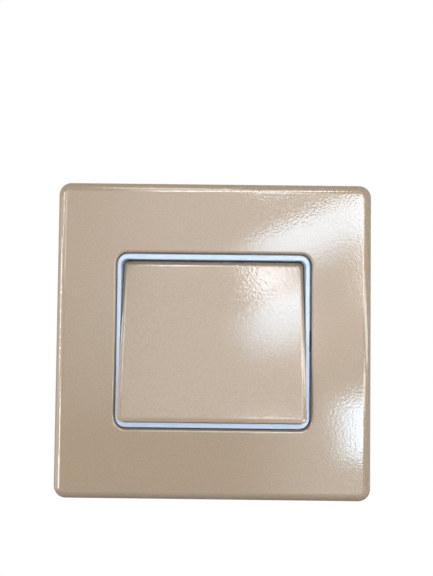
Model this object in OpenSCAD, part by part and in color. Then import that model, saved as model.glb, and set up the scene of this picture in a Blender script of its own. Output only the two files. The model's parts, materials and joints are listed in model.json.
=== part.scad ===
// Single wide-rocker wall switch, two-way, for a square flush wall box.
//
// Frame of the part: X to the right, Z up, the front faces -Y. The wall plane is y = 0 and the
// origin is midway between the two fixing slots. Every piece is drawn in plate coordinates, as
// seen from the front: x right, y up, z out of the wall. on_wall() turns that into the part's
// frame. Behind the wall plane z is negative.

/* [Front frame] */
// Width of the front frame
frame_w = 86; // [80:1:110]
// Height of the front frame
frame_h = 86; // [80:1:110]
// Distance from the wall to the frame's face
face_z = 8; // [7.6:0.1:11]
// Plan radius of the frame's outer corners
frame_corner_r = 3.4; // [3:0.1:8]
// Reach of the curved edge in from the frame's side
frame_edge_reach = 2.7; // [1.6:0.1:3]
// Drop of the curved edge below the frame's face
frame_edge_drop = 1.6; // [1.2:0.1:2.2]
// Radius where the curved edge turns down to the side
frame_nose_r = 1; // [0.5:0.1:1.1]
// Thickness of the frame's face
frame_face_t = 2.2; // [1.8:0.1:2.6]
// Thickness of the frame's skirt
frame_skirt_t = 2; // [1.4:0.1:3]
// Gap between the frame's skirt and the wall
skirt_wall_gap = 0.2; // [0:0.1:1]
// Thickness of the ribs behind the frame's face
frame_rib_t = 1.2; // [0.8:0.1:1.6]
// Height of the ribs behind the frame's face
frame_rib_h = 0.7; // [0.4:0.1:1]
// Distance of the frame's cross ribs from the middle
frame_rib_at = 14; // [8:0.5:18]
// Width of the open groove between the window and the trim ring
groove = 0.32; // [0.3:0.01:1]
// Plan radius of the window's corners
window_corner_r = 3.1; // [1.5:0.1:6]
// Round-over of the window's edge
window_edge_r = 0.7; // [0.2:0.1:1.2]
// Sideways seat of the frame on its clips
frame_seat_x = 0.18; // [-0.2:0.02:0.2]
// Upward seat of the frame on its clips
frame_seat_y = 0.05; // [-0.2:0.01:0.2]

/* [Trim ring] */
// How far the ring lies below the frame's face
ring_recess = 0.6; // [0.2:0.1:1.4]
// Width of the ring's face at the sides
ring_side_w = 1.05; // [0.9:0.05:2]
// Width of the ring's face at the top and bottom
ring_end_w = 1.35; // [0.9:0.05:2]
// Plan radius of the ring's outer corners
ring_corner_r = 2.8; // [1.6:0.1:5]
// Plan radius of the ring's inner corners
ring_inner_r = 1.6; // [0.6:0.1:3]
// Round-over of the ring's edges
ring_edge_r = 0.2; // [0.1:0.05:0.4]
// Reach of the flange that closes the groove, outside the ring's face
ring_flange_reach = 1.6; // [1:0.1:2.4]
// Thickness of the ring's flange
ring_flange_t = 1.2; // [0.8:0.1:1.6]
// Length of the prising notch in the flange
prise_notch_l = 6; // [3:0.5:12]
// Depth of the prising notch in the flange
prise_notch_d = 0.9; // [0.3:0.05:1]

/* [Rocker] */
// Width of the rocker
rocker_w = 50.1; // [40:0.1:52]
// Height of the rocker
rocker_h = 43.3; // [36:0.1:45]
// Tilt of the rocker each way from level, in degrees
rocker_tilt = 8.4; // [5:0.1:9]
// How far the hinge axis lies behind the rocker's face
pivot_back = 3; // [2.6:0.1:3.4]
// Plan radius of the rocker's corners
rocker_corner_r = 1.3; // [1.1:0.1:3]
// Round-over of the rocker's front edge
rocker_edge_r = 1; // [0.3:0.1:1.1]
// Thickness of the rocker's face
rocker_face_t = 1.8; // [1.4:0.1:2]
// Thickness of the rocker's skirt
rocker_skirt_t = 1.4; // [1:0.1:2]
// Gap between the rocker's sides and the ring
rocker_side_gap = 0.2; // [0.2:0.01:0.6]
// Gap between the level rocker's top or bottom and the ring
rocker_end_gap = 0.55; // [0.5:0.01:1.5]
// Radius of the rocker's hinge pins
hinge_pin_r = 1.2; // [0.8:0.05:1.3]
// Thickness of the ribs behind the rocker's face
cap_rib_t = 1; // [0.6:0.1:1.4]
// Height of the ribs behind the rocker's face
cap_rib_h = 1.4; // [0.8:0.1:2]
// Thickness of the rails that hold the lever
rail_t = 1.2; // [0.8:0.1:1.6]
// Reach and thickness of the rails' lips
rail_lip = 0.8; // [0.5:0.1:1]

/* [Mounting plate] */
// Gap between the mounting plate's edge and the frame's skirt
plate_gap = 1.5; // [1:0.1:3]
// Thickness of the mounting plate
base_t = 2.5; // [2.2:0.1:2.8]
// Plan radius of the mounting plate's corners
base_corner_r = 3; // [1:0.5:6]
// Height of the stiffening rim above the mounting plate
base_rim_h = 2.1; // [1:0.1:2.6]
// Thickness of the stiffening rim
base_rim_t = 1.2; // [0.8:0.1:2]
// Width of the rim round the plate's back that meets the wall
wall_rim_w = 3; // [2:0.5:5]
// Depth of the cored field inside that rim
back_core_d = 0.4; // [0.2:0.1:0.8]
// Margin of the mechanism's seat round the mechanism plate
seat_margin = 0.8; // [0.4:0.1:2]
// Thickness of the collar that centres the ring
collar_t = 1; // [0.6:0.1:1.4]
// Height of the collar that centres the ring
collar_h = 1; // [0.5:0.1:1.4]
// Thickness of the plate's ribs
plate_rib_t = 1; // [0.6:0.1:1.6]
// Height of the plate's ribs
plate_rib_h = 1; // [0.5:0.1:1.6]
// Distance of the side ribs above and below the middle
plate_rib_y = 14; // [8:0.5:16]
// Distance between the two fixing slots
fixing_pitch = 60.3; // [60.3:0.1:62]
// Width of each fixing slot
slot_w = 4.2; // [3.6:0.1:4.6]
// Overall length of each fixing slot
slot_l = 6; // [5:0.1:7.4]
// Radius kept free for each fixing screw's head
screw_seat_r = 3.9; // [3.6:0.1:4.4]
// Depth of the seat for each fixing screw's head
screw_seat_d = 0.6; // [0.2:0.1:1]
// Width of the pad round each screw seat, behind the plate
slot_pad_w = 1.6; // [0.8:0.1:2.4]

/* [Clips and screws] */
// Width of each frame hook
hook_w = 7; // [4:0.5:10]
// Thickness of each frame hook
hook_t = 1.5; // [1:0.1:2]
// Reach of the barb on a hook
barb_reach = 0.7; // [0.4:0.1:1]
// Height of the barb on a hook
barb_h = 0.8; // [0.5:0.1:1]
// Height of the frame hooks above and below the middle
hook_y = 24; // [10:0.5:30]
// Width of each ring tab
ring_tab_w = 5; // [3:0.5:8]
// Distance of the ring tabs from the middle
ring_tab_x = 8; // [4:0.5:10]
// Distance of the module screws from the middle, sideways
module_screw_x = 16; // [14:0.5:19]
// Shank radius of the module screws
module_screw_r = 1.3; // [1:0.05:1.5]
// Head radius of the module screws
module_head_r = 2.5; // [2:0.1:2.8]
// Head height of the module screws
module_head_h = 1.7; // [1:0.1:2]

/* [Mechanism] */
// Thickness of the mechanism plate
mech_t = 1.6; // [1.2:0.1:2.4]
// Wall thickness of the switch housing
housing_wall = 1.6; // [1:0.1:2.2]
// Thickness of the housing's straps under the module screws
strap_t = 1.8; // [1.2:0.1:2.4]
// Margin of the mechanism plate round the ring tabs
mech_rim = 0.8; // [0.4:0.1:1.2]
// Gap round the lever in the mechanism plate's slot
slot_side_gap = 0.5; // [0.3:0.1:1]
// Plan radius of the housing's corners
housing_corner_r = 1.2; // [0.4:0.1:1.6]
// Thickness of the partition between chamber and terminals
partition_t = 1; // [0.6:0.1:1.6]
// Width of the lever's plate
lever_plate_w = 26; // [22:0.5:32]
// Height of the lever's plate
lever_plate_h = 14; // [10:0.5:16]
// Thickness of the lever's plate
lever_plate_t = 1.5; // [1:0.1:1.8]
// Thickness of the lever's webs
lever_web_t = 1.2; // [0.8:0.1:1.6]
// Reach of the lever's webs beside the tube
lever_web_reach = 5.4; // [3:0.1:7]
// Outer radius of the lever's plunger tube
tube_r = 2.9; // [2.5:0.1:3.3]
// Radius of the plunger and of its round nose
plunger_r = 1.45; // [1.1:0.05:1.6]
// Distance from the hinge axis to the centre of the plunger's nose
nose_reach = 8.6; // [8.2:0.1:10]
// How far the plunger stands out of its tube, up to the nose's centre
plunger_bare = 1.3; // [1.1:0.1:1.6]
// Length of the plunger's straight shank
plunger_shank = 4.2; // [3:0.1:4.6]
// Length of the plunger spring
spring_l = 3.5; // [3.2:0.1:3.8]
// Wire radius of the plunger spring
spring_wire_r = 0.18; // [0.12:0.01:0.25]
// Turns of the plunger spring
spring_turns = 5; // [4:1:6]

/* [Contacts] */
// Distance of each moving contact from the arm's pivot
contact_reach = 10.3; // [9:0.1:11.5]
// Width of the contact arm
arm_w = 5; // [4:0.1:6]
// Thickness of the contact arm
arm_t = 0.8; // [0.5:0.05:1]
// Length of the arm beyond each contact's centre
arm_tail = 2.1; // [2:0.1:2.4]
// Thickness of the arm's ears
ear_t = 0.8; // [0.5:0.05:1]
// How far the arm's ears reach down past its pivot
ear_drop = 2.2; // [1.4:0.1:2.8]
// Thickness of the knife edge that carries the arm
blade_t = 1.4; // [1:0.1:1.8]
// Radius of the contact heads
contact_r = 1.75; // [1.2:0.05:1.9]
// Height of a moving contact's head
moving_head_h = 0.9; // [0.6:0.05:1.2]
// Height of a fixed contact, from strip to crown
fixed_head_h = 1; // [0.7:0.05:1.4]
// Crown radius of the fixed contacts
crown_r = 5; // [4:0.5:8]
// Radius of the contacts' rivet shanks
rivet_r = 0.8; // [0.5:0.05:1]
// Width of the brass strips
strip_w = 5; // [3.6:0.1:5.6]
// Thickness of the brass strips
strip_t = 0.8; // [0.5:0.05:1]
// Length of a strip's pad beyond its contact's centre
strip_pad = 2.4; // [2:0.1:3]

/* [Terminals] */
// Distance between neighbouring terminals
terminal_pitch = 11.5; // [11.2:0.1:13]
// Width of each clamp block
block_w = 8.5; // [6:0.1:8.8]
// Length of each clamp block along the wire
block_l = 9; // [7:0.1:10]
// Depth of each clamp block
block_d = 6.6; // [5.6:0.1:8]
// Radius of the wire bore
wire_r = 1.75; // [1.2:0.05:2]
// Metal between the wire bore and the block's front
wire_web = 0.85; // [0.6:0.05:1.2]
// Shank radius of the terminal screws
terminal_screw_r = 1.4; // [1:0.05:1.6]
// Head radius of the terminal screws
terminal_head_r = 2.5; // [2:0.1:2.8]
// Head height of the terminal screws
terminal_head_h = 1.7; // [1:0.1:2]
// Lift of the open terminal screws off their blocks
terminal_lift = 0.5; // [0.3:0.1:0.8]
// Thickness of the terminal shield
shield_t = 1.2; // [0.8:0.1:2]
// Radius of the screwdriver holes in the terminal shield
guard_r = 1.9; // [1.6:0.1:2.3]

/* [Fits] */
// Gap between fixed pieces that slip together
fit_gap = 0.1; // [0.05:0.01:0.15]
// Radial running gap of pins, plunger and pivots
run_gap = 0.05; // [0.02:0.01:0.08]
// Gap where a moving piece comes to its stop or just clears another
touch_gap = 0.04; // [0.02:0.01:0.06]

/* [Hidden] */
$fn = 48;
// overshoot of a cutting tool past a face
eps = 0.02;
cut = 1;

// ring and window, outwards from the rocker
well_w = rocker_w + 2 * rocker_side_gap;
well_h = rocker_h + 2 * rocker_end_gap;
ring_w = well_w + 2 * ring_side_w;
ring_h = well_h + 2 * ring_end_w;
window_w = ring_w + 2 * groove;
window_h = ring_h + 2 * groove;
flange_w = ring_w + 2 * ring_flange_reach;
flange_h = ring_h + 2 * ring_flange_reach;
flange_corner_r = ring_corner_r + ring_flange_reach;

// mounting plate, inside the frame's skirt
base_w = frame_w - 2 * (frame_skirt_t + plate_gap);
base_h = frame_h - 2 * (frame_skirt_t + plate_gap);
collar_w = ring_w + 2 * (fit_gap + collar_t);
collar_l = ring_h + 2 * (fit_gap + collar_t);

// levels above the wall plane
face_back_z = face_z - frame_face_t;
ring_z = face_z - ring_recess;
flange_top_z = face_back_z - 2 * fit_gap;
pivot_z = face_z - pivot_back;
boss_top_z = flange_top_z - ring_flange_t - 2 * fit_gap;

// rocker: the skirt just reaches the mechanism plate at full tilt
rocker_skirt_h =
    pivot_back + (pivot_z - touch_gap - rocker_h / 2 * sin(rocker_tilt)) / cos(rocker_tilt);
cap_under = pivot_back - rocker_face_t;
hinge_pin_end = well_w / 2 + ring_side_w - fit_gap;

// lever behind the rocker's face
tube_end = nose_reach - plunger_bare;
plunger_back = nose_reach - plunger_shank;
spring_seat = plunger_back - spring_l;
bore_r = plunger_r + run_gap;
spring_coil_r = plunger_r - run_gap - spring_wire_r;

// the arm pivots on a knife edge behind the plunger's nose and tilts against the rocker
arm_tilt = rocker_tilt;
arm_pivot_z = pivot_z - nose_reach - plunger_r - touch_gap - arm_t;
arm_half_l = contact_reach + arm_tail;

// crown centre of a fixed contact, from the pivot, square to the closed moving contact
crown_step = moving_head_h + touch_gap + crown_r;
crown_y = contact_reach * cos(arm_tilt) - crown_step * sin(arm_tilt);
crown_z = arm_pivot_z - contact_reach * sin(arm_tilt) - crown_step * cos(arm_tilt);
strip_top_z = crown_z + crown_r - fixed_head_h;
floor_z = strip_top_z - strip_t;

// housing behind the mechanism plate
chamber_half_w = terminal_pitch + strip_w / 2 + 2;
chamber_half_h = arm_half_l + 1.2;
housing_half_w = chamber_half_w + housing_wall;
housing_top = chamber_half_h + housing_wall;
leg_y = -(crown_y + strip_pad);
block_top = leg_y - strip_t;
block_bottom = block_top - block_l;
bay_top = leg_y + fit_gap;
block_front_z = floor_z - partition_t - fit_gap;
block_back_z = block_front_z - block_d;
wire_z = block_front_z - wire_web - wire_r;
head_back_z = block_back_z - terminal_lift - terminal_head_h;
bay_back_z = head_back_z - 0.8;
block_mid_y = (block_top + block_bottom) / 2;
terminal_x = [-terminal_pitch, 0, terminal_pitch];

// module screws hold housing and mechanism plate to the mounting plate
module_boss_r = module_screw_r + 1.3;
ear_r = module_head_r + 0.7;
module_screw_y = ring_h / 2 + fit_gap + module_boss_r + 0.9;
module_screw_at = [for (sx = [-1, 1], sy = [-1, 1]) [sx * module_screw_x, sy * module_screw_y]];
mech_plate_w = well_w + 2 * mech_rim;
mech_plate_h = well_h + 2 * (mech_rim + barb_reach + ring_end_w);
mech_slot_half_h = (pivot_z + mech_t) * tan(rocker_tilt) + tube_r / cos(rocker_tilt) + slot_side_gap;

// frame hooks sit just inside the mounting plate's rim
hook_x = base_w / 2 - base_rim_t - 1.7 - hook_t / 2;
hook_foot_z = 0.3;
ledge_z = hook_foot_z + barb_h + fit_gap;

champagne = "#BFAE9A";
pale_blue = "#CBE2F7";
white_plastic = "#ECECE6";
grey_plastic = "#C9CBC8";
brass = "#C9A24E";
silver = "#D5D6D8";
steel = "#B9BDC1";

// ---------------------------------------------------------------- placing

// Plate coordinates to the part's frame: z out of the wall becomes -Y.
module on_wall() {
    rotate([90, 0, 0]) children();
}

// The rocker's own coordinates: origin on its hinge axis, tilted with the top pressed in.
module on_rocker() {
    on_wall() translate([0, 0, pivot_z]) rotate([-rocker_tilt, 0, 0]) children();
}

// The contact arm's own coordinates: origin on its knife edge, lower contact closed.
module on_arm() {
    on_wall() translate([0, 0, arm_pivot_z]) rotate([arm_tilt, 0, 0]) children();
}

// ---------------------------------------------------------------- shapes

// Rectangle with round corners, centred.
module round_rect(w, h, r) {
    square([w, h - 2 * r], center = true);
    square([w - 2 * r, h], center = true);
    for (sx = [-1, 1], sy = [-1, 1])
        translate([sx * (w / 2 - r), sy * (h / 2 - r)]) circle(r);
}

// Straight prism with round corners from z0 up to z1.
module round_prism(w, h, r, z0, z1) {
    translate([0, 0, z0]) linear_extrude(z1 - z0) round_rect(w, h, r);
}

// Box between two corners, with its upright edges rounded by r.
module round_box(low, high, r) {
    translate([(low[0] + high[0]) / 2, (low[1] + high[1]) / 2, 0])
        round_prism(high[0] - low[0], high[1] - low[1], r, low[2], high[2]);
}

// Box between two corners.
module box(low, high) {
    translate(low) cube([high[0] - low[0], high[1] - low[1], high[2] - low[2]]);
}

// Section of a filleted edge: a strip r wide and h high whose outer top edge is rounded by f.
module edge_section(r, h, f) {
    square([r - f, h]);
    square([r, h - f]);
    translate([r - f, h - f]) intersection() {
        circle(f);
        square(f);
    }
}

// Section of the frame's edge, r wide and h high: a crown arc leaves the face and a nose arc,
// tangent to it, turns down to the side.
module crowned_section(r, h) {
    run = frame_edge_reach - frame_nose_r;
    crown_r =
        (run * run + pow(frame_edge_drop, 2) - pow(frame_nose_r, 2))
        / (2 * (frame_edge_drop - frame_nose_r));
    meet = run * crown_r / (crown_r - frame_nose_r);
    square([r - frame_edge_reach, h]);
    square([r, h - frame_edge_drop]);
    translate([r - frame_edge_reach, h - crown_r]) intersection() {
        circle(crown_r);
        translate([0, crown_r - frame_edge_drop]) square([meet, frame_edge_drop]);
    }
    translate([r - frame_nose_r, h - frame_edge_drop]) intersection() {
        circle(frame_nose_r);
        square(frame_nose_r);
    }
}

// Block with round corners of radius r. The child is the section of its edge, outwards along x.
module edged_block(w, h, r, z0, z1) {
    in_x = w / 2 - r;
    in_y = h / 2 - r;
    translate([0, 0, z0]) {
        translate([-in_x, -in_y, 0]) cube([2 * in_x, 2 * in_y, z1 - z0]);
        for (corner = [0:3]) {
            sx = (corner == 0 || corner == 3) ? 1 : -1;
            sy = corner < 2 ? 1 : -1;
            translate([sx * in_x, sy * in_y, 0])
                rotate([0, 0, 90 * corner])
                    rotate_extrude(angle = 90) children();
        }
        for (side = [0:3]) {
            reach = side % 2 == 0 ? in_x : in_y;
            length = 2 * (side % 2 == 0 ? in_y : in_x);
            rotate([0, 0, 90 * side])
                translate([reach, length / 2, 0])
                    rotate([90, 0, 0])
                        linear_extrude(length) children();
        }
    }
}

// Section of the flare that rounds over an opening's edge: r is the opening's corner radius.
module flare_section(r, f) {
    difference() {
        translate([0, -f]) square([r + f, f + cut]);
        translate([r + f, -f]) circle(f);
        translate([r + eps, -f - eps]) square([f, eps]);
    }
}

// Cutter that opens a round-cornered window at level z1 and rounds its edge over by f.
module window_cutter(w, h, r, z0, z1, f) {
    in_x = w / 2 - r;
    in_y = h / 2 - r;
    round_prism(w, h, r, z0, z1 + cut);
    translate([0, 0, z1]) {
        for (corner = [0:3]) {
            sx = (corner == 0 || corner == 3) ? 1 : -1;
            sy = corner < 2 ? 1 : -1;
            translate([sx * in_x, sy * in_y, 0])
                rotate([0, 0, 90 * corner])
                    rotate_extrude(angle = 90) flare_section(r, f);
        }
        for (side = [0:3]) {
            reach = side % 2 == 0 ? in_x : in_y;
            length = 2 * (side % 2 == 0 ? in_y : in_x);
            rotate([0, 0, 90 * side])
                translate([reach, length / 2, 0])
                    rotate([90, 0, 0])
                        linear_extrude(length) flare_section(r, f);
        }
    }
}

// Upright cylinder at a plan position, from z0 up to z1.
module post(at, r, z0, z1) {
    translate([at[0], at[1], z0]) cylinder(r = r, h = z1 - z0);
}

// ---------------------------------------------------------------- fixed pieces

// One hook of the front frame: a flat prong whose barb points outwards.
module frame_hook(side) {
    box([-hook_t / 2, -hook_w / 2, hook_foot_z], [hook_t / 2, hook_w / 2, face_back_z + eps]);
    translate([0, hook_w / 2, 0])
        rotate([90, 0, 0])
            linear_extrude(hook_w)
                polygon([
                    [0, hook_foot_z],
                    [side * hook_t / 2, hook_foot_z],
                    [side * (hook_t / 2 + barb_reach), hook_foot_z + barb_h / 2],
                    [side * (hook_t / 2 + barb_reach), hook_foot_z + barb_h],
                    [0, hook_foot_z + barb_h]
                ]);
}

// Painted outer frame: a shallow shell with a rounded edge, a window and four hooks.
module front_frame() {
    inner_w = frame_w - 2 * frame_skirt_t;
    inner_h = frame_h - 2 * frame_skirt_t;
    inner_r = max(frame_corner_r - frame_skirt_t, 0.6);
    rib_in_w = flange_w + 8 * fit_gap;
    rib_in_h = flange_h + 8 * fit_gap;
    rib_z = face_back_z - frame_rib_h;
    color(champagne) on_wall() {
        translate([frame_seat_x, frame_seat_y, 0]) {
            difference() {
                edged_block(frame_w, frame_h, frame_corner_r, skirt_wall_gap, face_z)
                    crowned_section(frame_corner_r, face_z - skirt_wall_gap);
                round_prism(inner_w, inner_h, inner_r, skirt_wall_gap - cut, face_back_z);
                window_cutter(
                    window_w, window_h, window_corner_r, face_back_z - cut, face_z, window_edge_r
                );
            }
            // rib round the ring's flange, with cross ribs out to the skirt
            difference() {
                round_prism(
                    rib_in_w + 2 * frame_rib_t, rib_in_h + 2 * frame_rib_t,
                    flange_corner_r + frame_rib_t, rib_z, face_back_z + eps
                );
                round_prism(rib_in_w, rib_in_h, flange_corner_r, rib_z - cut, face_back_z + cut);
            }
            for (side = [0:3]) {
                from = (side % 2 == 0 ? rib_in_w : rib_in_h) / 2 + eps;
                to = (side % 2 == 0 ? inner_w : inner_h) / 2 + eps;
                rotate([0, 0, 90 * side])
                    for (sy = [-1, 1])
                        translate([from, sy * frame_rib_at - frame_rib_t / 2, rib_z])
                            cube([to - from, frame_rib_t, frame_rib_h + eps]);
            }
        }
        for (sx = [-1, 1], sy = [-1, 1])
            translate([sx * hook_x, sy * hook_y, 0]) frame_hook(sx);
    }
}

// Pale ring round the rocker. Its flange closes the groove, its sides carry the hinge pins and
// four tabs hold it in the mounting plate.
module trim_ring() {
    tab_y = well_h / 2;
    color(pale_blue) on_wall() {
        difference() {
            union() {
                edged_block(ring_w, ring_h, ring_corner_r, base_t, ring_z)
                    edge_section(ring_corner_r, ring_z - base_t, ring_edge_r);
                round_prism(
                    flange_w, flange_h, flange_corner_r, flange_top_z - ring_flange_t, flange_top_z
                );
            }
            window_cutter(well_w, well_h, ring_inner_r, base_t - cut, ring_z, ring_edge_r);
            for (sx = [-1, 1])
                translate([sx * (well_w / 2 + ring_side_w + fit_gap), 0, pivot_z])
                    rotate([0, -sx * 90, 0]) cylinder(r = hinge_pin_r + run_gap, h = cut + ring_side_w);
            box(
                [ring_w / 2, -prise_notch_l / 2, flange_top_z - prise_notch_d],
                [flange_w / 2 + cut, prise_notch_l / 2, flange_top_z + cut]
            );
        }
        for (sx = [-1, 1], sy = [-1, 1])
            translate([sx * ring_tab_x, 0, 0]) mirror([0, sy < 0 ? 1 : 0, 0]) {
                box(
                    [-ring_tab_w / 2, tab_y, hook_foot_z],
                    [ring_tab_w / 2, tab_y + ring_end_w, base_t + eps]
                );
                translate([-ring_tab_w / 2, 0, 0])
                    rotate([90, 0, 90])
                        linear_extrude(ring_tab_w)
                            polygon([
                                [tab_y, hook_foot_z],
                                [tab_y + ring_end_w, hook_foot_z],
                                [tab_y + ring_end_w + barb_reach, hook_foot_z + barb_h / 2],
                                [tab_y + ring_end_w + barb_reach, hook_foot_z + barb_h],
                                [tab_y, hook_foot_z + barb_h]
                            ]);
            }
    }
}

// One fixing slot, lengthways along x.
module fixing_slot() {
    run = (slot_l - slot_w) / 2;
    translate([0, 0, -cut]) {
        for (sx = [-1, 1])
            translate([sx * run, 0, 0]) cylinder(r = slot_w / 2, h = base_t + 2 * cut);
        translate([-run, -slot_w / 2, 0]) cube([2 * run, slot_w, base_t + 2 * cut]);
    }
}

// Moulded plate that is screwed to the wall box and carries everything else.
module mounting_plate() {
    rim_in_w = base_w - 2 * base_rim_t;
    rim_in_h = base_h - 2 * base_rim_t;
    tab_room = ring_tab_w + 4 * fit_gap;
    tab_edge = well_h / 2 + ring_end_w + fit_gap;
    color(white_plastic) on_wall() {
        difference() {
            union() {
                round_prism(base_w, base_h, base_corner_r, 0, base_t);
                difference() {
                    round_prism(base_w, base_h, base_corner_r, base_t - eps, base_t + base_rim_h);
                    round_prism(
                        rim_in_w, rim_in_h, base_corner_r, base_t - cut, base_t + base_rim_h + cut
                    );
                }
                // collar that centres the ring
                difference() {
                    round_prism(
                        collar_w, collar_l, ring_corner_r + collar_t, base_t - eps, base_t + collar_h
                    );
                    round_prism(
                        ring_w + 2 * fit_gap, ring_h + 2 * fit_gap, ring_corner_r,
                        base_t - cut, base_t + collar_h + cut
                    );
                }
                for (at = module_screw_at) post(at, module_boss_r, base_t - eps, boss_top_z);
                for (sx = [-1, 1], sy = [-1, 1]) mirror([sx < 0 ? 1 : 0, 0, 0])
                    mirror([0, sy < 0 ? 1 : 0, 0]) {
                        // rib from the collar out to the rim, and one from each boss
                        box(
                            [collar_w / 2 - eps, plate_rib_y, base_t - eps],
                            [rim_in_w / 2 + eps, plate_rib_y + plate_rib_t, base_t + plate_rib_h]
                        );
                        translate([module_screw_x - plate_rib_t / 2, 0, 0])
                            box(
                                [0, module_screw_y + module_screw_r + eps, base_t - eps],
                                [plate_rib_t, rim_in_h / 2 + eps, base_t + plate_rib_h]
                            );
                    }
            }
            round_prism(well_w, well_h, ring_inner_r, -cut, base_t + cut);
            // cored field behind, between the rim that meets the wall and the mechanism's seat
            difference() {
                round_prism(
                    base_w - 2 * wall_rim_w, base_h - 2 * wall_rim_w, base_corner_r,
                    -cut, back_core_d
                );
                translate([0, 0, -2 * cut]) linear_extrude(back_core_d + 4 * cut)
                    mechanism_outline(seat_margin);
                for (sx = [-1, 1])
                    post(
                        [sx * fixing_pitch / 2, 0], screw_seat_r + slot_pad_w,
                        -2 * cut, back_core_d + cut
                    );
            }
            for (sx = [-1, 1]) {
                translate([sx * fixing_pitch / 2, 0, 0]) fixing_slot();
                post(
                    [sx * fixing_pitch / 2, 0], screw_seat_r,
                    base_t - screw_seat_d, base_t + base_rim_h + cut
                );
            }
            for (at = module_screw_at) post(at, module_screw_r, -cut, boss_top_z - 0.6);
            // frame hooks: a window each, with room behind its ledge for the barb
            for (sx = [-1, 1], sy = [-1, 1])
                translate([sx * hook_x, sy * hook_y, 0]) mirror([sx < 0 ? 1 : 0, 0, 0]) {
                    box(
                        [-hook_t / 2 - barb_reach - fit_gap, -hook_w / 2 - 2 * fit_gap, -cut],
                        [hook_t / 2 + fit_gap, hook_w / 2 + 2 * fit_gap, base_t + cut]
                    );
                    box(
                        [0, -hook_w / 2 - 2 * fit_gap, -cut],
                        [hook_t / 2 + barb_reach + fit_gap, hook_w / 2 + 2 * fit_gap, ledge_z]
                    );
                }
            // ring tabs: a notch each, with the same kind of ledge
            for (sx = [-1, 1], sy = [-1, 1])
                translate([sx * ring_tab_x, 0, 0]) mirror([0, sy < 0 ? 1 : 0, 0]) {
                    box([-tab_room / 2, well_h / 2 - 1, -cut], [tab_room / 2, tab_edge, base_t + cut]);
                    box(
                        [-tab_room / 2, well_h / 2 - 1, -cut],
                        [tab_room / 2, tab_edge + barb_reach, ledge_z]
                    );
                }
        }
    }
}

// Ears round the module screws, from a line inner_y off the middle, with a margin round them.
module screw_ears(inner_y, margin = 0) {
    r = ear_r + margin;
    for (at = module_screw_at) {
        sy = at[1] > 0 ? 1 : -1;
        translate(at) circle(r);
        translate([at[0] - r, min(sy * inner_y, at[1])])
            square([2 * r, abs(at[1] - sy * inner_y)]);
    }
}

// Outline of the mechanism plate with its four ears, grown by a margin.
module mechanism_outline(margin = 0) {
    round_rect(mech_plate_w + 2 * margin, mech_plate_h + 2 * margin, ring_inner_r + margin);
    screw_ears(well_h / 2, margin);
}

// Flat plate behind the rocker's well, with the slot that the lever swings in.
module mechanism_plate() {
    color(grey_plastic) on_wall() {
        difference() {
            translate([0, 0, -mech_t]) linear_extrude(mech_t) mechanism_outline();
            round_prism(2 * (tube_r + slot_side_gap), 2 * mech_slot_half_h, 1, -mech_t - cut, cut);
            for (at = module_screw_at) post(at, module_screw_r + fit_gap, -mech_t - cut, cut);
        }
    }
}

// Body that holds the contacts in front and the three terminals behind.
module switch_housing() {
    rim_z = -mech_t;
    pocket_w = block_w + 4 * fit_gap;
    leg_slot_w = strip_w + 2 * fit_gap;
    color(white_plastic) on_wall() {
        difference() {
            union() {
                // terminal end, full depth, and the shallower contact end above it
                round_box(
                    [-housing_half_w, block_bottom, bay_back_z],
                    [housing_half_w, bay_top + housing_wall, rim_z], housing_corner_r
                );
                round_box(
                    [-housing_half_w, block_mid_y, floor_z - partition_t],
                    [housing_half_w, housing_top, rim_z], housing_corner_r
                );
                translate([0, 0, rim_z - strap_t]) linear_extrude(strap_t)
                    screw_ears(chamber_half_h);
            }
            // contact chamber
            round_prism(
                2 * chamber_half_w, 2 * chamber_half_h, 1.5, floor_z, rim_z + cut
            );
            // cored room in front of the terminals
            box(
                [-chamber_half_w, block_bottom + housing_wall, floor_z + strip_t],
                [chamber_half_w, -chamber_half_h - housing_wall, rim_z + cut]
            );
            for (x = terminal_x) {
                // terminal pocket, open below and behind
                box(
                    [x - pocket_w / 2, block_bottom - cut, bay_back_z - cut],
                    [x + pocket_w / 2, bay_top, floor_z - partition_t]
                );
                // slot for the strip's leg
                box(
                    [x - leg_slot_w / 2, leg_y - strip_t - fit_gap, floor_z - partition_t - cut],
                    [x + leg_slot_w / 2, leg_y + fit_gap, floor_z + cut]
                );
            }
            for (at = module_screw_at)
                post(at, module_screw_r + fit_gap, rim_z - strap_t - cut, rim_z + cut);
        }
    }
}

// Pan head with a cross recess, on a shank that points up.
module cross_screw(shank_r, head_r, head_h, length) {
    recess_w = 0.9;
    recess_d = 0.8;
    difference() {
        rotate_extrude() polygon([
            [0, -head_h], [head_r - 0.5, -head_h], [head_r, -head_h + 0.5], [head_r, 0],
            [shank_r, 0], [shank_r, length - 0.5], [shank_r - 0.5, length], [0, length]
        ]);
        for (turn = [0, 90])
            rotate([0, 0, turn])
                translate([-head_r * 0.6, -recess_w / 2, -head_h - cut])
                    cube([head_r * 1.2, recess_w, recess_d + cut]);
    }
}

// The four screws that clamp housing and mechanism plate to the mounting plate.
module module_screws() {
    seat_z = -mech_t - strap_t;
    color(steel) on_wall() {
        for (at = module_screw_at)
            translate([at[0], at[1], seat_z])
                cross_screw(
                    module_screw_r - 2 * eps, module_head_r, module_head_h,
                    boss_top_z - 1 - seat_z
                );
    }
}

// The three terminal screws, backed off as delivered.
module terminal_screws() {
    seat_z = block_back_z - terminal_lift;
    color(steel) on_wall() {
        for (x = terminal_x)
            translate([x, block_mid_y, seat_z])
                cross_screw(
                    terminal_screw_r, terminal_head_r, terminal_head_h,
                    wire_z - wire_r - run_gap - seat_z
                );
    }
}

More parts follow.
